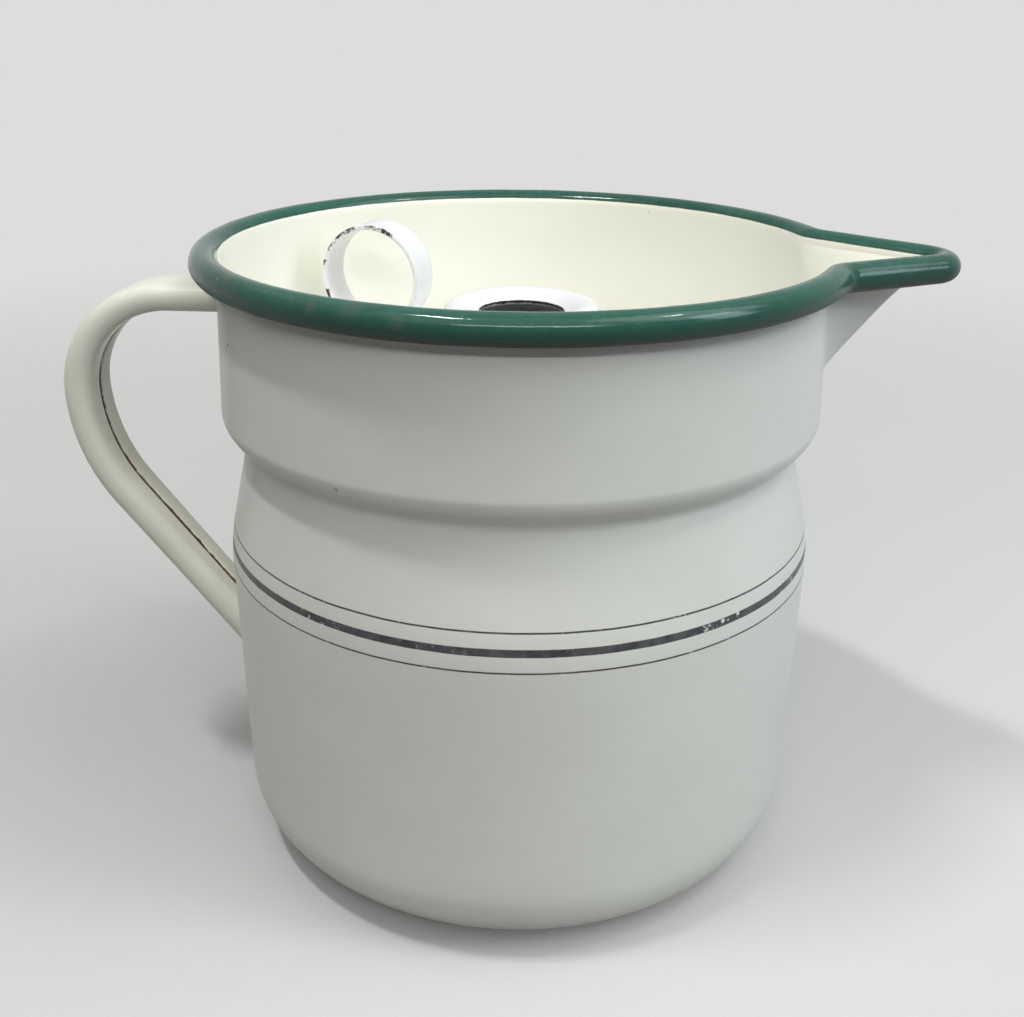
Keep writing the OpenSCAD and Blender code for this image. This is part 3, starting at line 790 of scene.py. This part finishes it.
hoop = bmesh.new()
edge_layer = hoop.verts.layers.float.new("edge")
top_middle = Vector((0, 0, ring_h - ring_w / 2))
side_turn = math.atan2(top_middle.z, ring_foot_w / 2) - math.acos(ring_w / 2 / math.hypot(ring_foot_w / 2, top_middle.z))
half_foot = ring_foot_w / 2 - ring_t / 2 * (1 - math.sin(side_turn)) / math.cos(side_turn)
side_top = top_middle + (ring_w - ring_t) / 2 * Vector((math.cos(side_turn), 0, -math.sin(side_turn)))
side_foot = Vector((half_foot, 0, ring_t / 2))
start = hoop.verts.new(side_foot)
chain = carry(hoop, [start], (0, 0, 0), 0, (side_top - side_foot) / 4, 4)
chain = carry(hoop, chain, top_middle, -(math.pi + 2 * side_turn), (0, 0, 0), 56, (0, 1, 0))
down = Vector((side_foot.x - side_top.x, 0, side_foot.z - side_top.z)) / 4
chain = carry(hoop, chain, (0, 0, 0), 0, (-down.x, 0, down.z), 4)
end = verts_of(chain)[0]
hoop.edges.new((end, start))
bmesh.ops.bevel(hoop, geom=[start, end], offset=1.2 * mm, offset_type="OFFSET", affect="VERTICES", segments=4,
                profile=0.5, material=-1)
bmesh.ops.translate(hoop, vec=(0, -ring_strip_w / 2, 0), verts=hoop.verts)
carry(hoop, hoop.verts[:] + hoop.edges[:], (0, 0, 0), 0, (0, ring_strip_w / 8, 0), 8)
face_outwards(hoop, Vector((0, 0, 1)))
for v in hoop.verts:
    v.co += v.normal * ring_t / 2
thicken(hoop, ring_t, 0)
for v in hoop.verts:
    angle = math.degrees(math.atan2(v.co.z - top_middle.z, v.co.x)) % 360
    worn = v.co.y < 0 and any(first <= angle <= last for first, last in worn_stretches)
    outer = ((v.co - top_middle).xz.length - ring_w / 2) / ring_t + 1
    share = (0.62 + 0.38 * outer) if worn else 0.3
    v[edge_layer] = max(0, 1 - (ring_strip_w / 2 - abs(v.co.y)) / (0.7 * mm)) * share
rims = [edge for edge in hoop.edges if edge.is_manifold and edge.calc_face_angle() > math.radians(60)]
bmesh.ops.bevel(hoop, geom=rims, offset=0.5 * mm, offset_type="OFFSET", affect="EDGES", segments=3, profile=0.5,
                material=-1)
ring_place = Matrix.Translation(((ring_low.x + ring_high.x) / 2, (ring_low.y + ring_high.y) / 2, ring_low.z))
bmesh.ops.transform(hoop, matrix=ring_place @ Matrix.Rotation(ring_turn, 4, "Z"), verts=hoop.verts)
lifting_loop = finish_piece("lifting_loop", hoop, [ring_enamel])
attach(lifting_loop, "insert")
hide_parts("lifting_ring")

# %% [markdown]
# ## Wire
#
# The wire lies in the roll and shows only through the slit below. It keeps its own solid and gets the
# finish of old drawn steel: dark, with rust in patches.

# %% Wire finish
wire_steel, tree, shader, where = new_material("rusty_wire", Metallic=1.0)
rust = step_up(tree, clouds(tree, where, 3 * mm, 5.0, 0.7), 0.42, 0.62)
tree.links.new(blend_colour(tree, rust, (0.36, 0.35, 0.34, 1), rust_brown), shader.inputs["Base Color"])
tree.links.new(calc(tree, "SUBTRACT", 1.0, rust), shader.inputs["Metallic"])
tree.links.new(calc(tree, "MULTIPLY_ADD", rust, 0.5, 0.35), shader.inputs["Roughness"])
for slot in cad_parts["rim_wire"].material_slots:
    slot.material = wire_steel

# %% [markdown]
# ## Floor, light and camera
#
# A plain pale floor fades to an equally pale background. A wide soft ceiling lights all that looks up, a
# window on the right shades the round wall, and three narrow lamps draw the lines of light on the glossy
# roll. The floor looks pale but throws back less light than its colour would, or it would wash out the shadow
# under the roll.

# %% Floor
pale = (0.82, 0.82, 0.81, 1)
floor_seen = (0.62, 0.62, 0.61, 1)
floor_bounce = (0.17, 0.17, 0.16, 1)


def straight_rays(tree):
    """1 for the rays that show the background, to the eye or in a mirror or a glass; 0 for the light it throws."""
    rays = add(tree, "LightPath").outputs
    return calc(tree, "MAXIMUM", rays["Is Camera Ray"],
                calc(tree, "MAXIMUM", rays["Is Glossy Ray"], rays["Is Transmission Ray"]))


floor_bm = bmesh.new()
bmesh.ops.create_circle(floor_bm, cap_ends=True, segments=96, radius=8.0)
floor_material, tree, shader, where = new_material("pale_floor", Roughness=0.6)
away = add(tree, "VectorMath", {0: where}, operation="LENGTH").outputs["Value"]
straight = straight_rays(tree)
glow = add(tree, "Emission", {"Color": pale, "Strength": calc(tree, "MULTIPLY_ADD", straight, 0.85, 0.03)})
far = step_up(tree, away, 0.2, 0.9)
tree.links.new(blend_colour(tree, straight, floor_bounce, floor_seen), shader.inputs["Base Color"])
both = add(tree, "MixShader", {0: far, 1: shader.outputs[0], 2: glow.outputs[0]})
tree.links.new(both.outputs[0], tree.nodes["Material Output"].inputs["Surface"])
floor = finish_piece("floor", floor_bm, [floor_material])

# %% Lights
def softbox(name, place, aim, size, watts, colour=(1, 1, 1)):
    lamp = bpy.data.lights.new(name, "AREA")
    lamp.shape = "RECTANGLE"
    lamp.size, lamp.size_y = size
    lamp.energy = watts
    lamp.color = colour
    holder = bpy.data.objects.new(name, lamp)
    holder.location = place
    holder.visible_camera = False
    holder.rotation_euler = (Vector(aim) - Vector(place)).to_track_quat("-Z", "Y").to_euler()
    bpy.context.scene.collection.objects.link(holder)


def towards(bearing, rise, distance):
    """A place seen from the mouth of the jug at a bearing and a rise in degrees."""
    bearing, rise = math.radians(bearing), math.radians(rise)
    way = Vector((math.cos(rise) * math.cos(bearing), math.cos(rise) * math.sin(bearing), math.sin(rise)))
    return mouth_middle + distance * way


mouth_middle = Vector((0, 0, rim_z))
softbox("ceiling", (0, -0.7, 2.0), (0, -0.7, 0), (4.5, 4.5), 23, (1.0, 0.99, 0.97))
softbox("front", (0, -0.9, 1.7), mouth_middle, (2.4, 2.0), 8.5, (1.0, 0.99, 0.97))
softbox("high_window", towards(-12, 50, 1.7), mouth_middle, (1.2, 1.2), 9.5, (0.97, 0.99, 1.0))
softbox("low_window", towards(-14, 26, 1.7), mouth_middle, (0.45, 0.9), 7.5, (0.80, 0.92, 1.0))
softbox("front_tube", towards(-82, 34, 1.5), mouth_middle, (1.1, 0.04), 5.0)
softbox("top_tube", towards(-142, 70, 1.5), mouth_middle, (0.35, 0.07), 8.0)
softbox("side_tube", towards(-12, 56, 1.5), mouth_middle, (0.20, 0.05), 1.6)
world = bpy.data.worlds.new("studio")
world.use_nodes = True
bpy.context.scene.world = world
tree = world.node_tree
background = tree.nodes["Background"]
background.inputs["Color"].default_value = pale
tree.links.new(calc(tree, "MULTIPLY_ADD", straight_rays(tree), 0.85, 0.03), background.inputs["Strength"])

# %% Camera
camera_data = bpy.data.cameras.new("camera")
camera_data.lens = 43.67
camera_data.sensor_width = 36
camera = bpy.data.objects.new("camera", camera_data)
bpy.context.scene.collection.objects.link(camera)
heading = Matrix.Rotation(math.radians(5.06), 4, "Z")
tilt = Matrix.Rotation(math.radians(67.22), 4, "X")
roll_of_camera = Matrix.Rotation(math.radians(0.561), 4, "Z")
camera.matrix_world = Matrix.Translation((0.0272, -0.3310, 0.2348)) @ heading @ tilt @ roll_of_camera
bpy.context.scene.camera = camera
bpy.context.scene.view_settings.view_transform = "Standard"
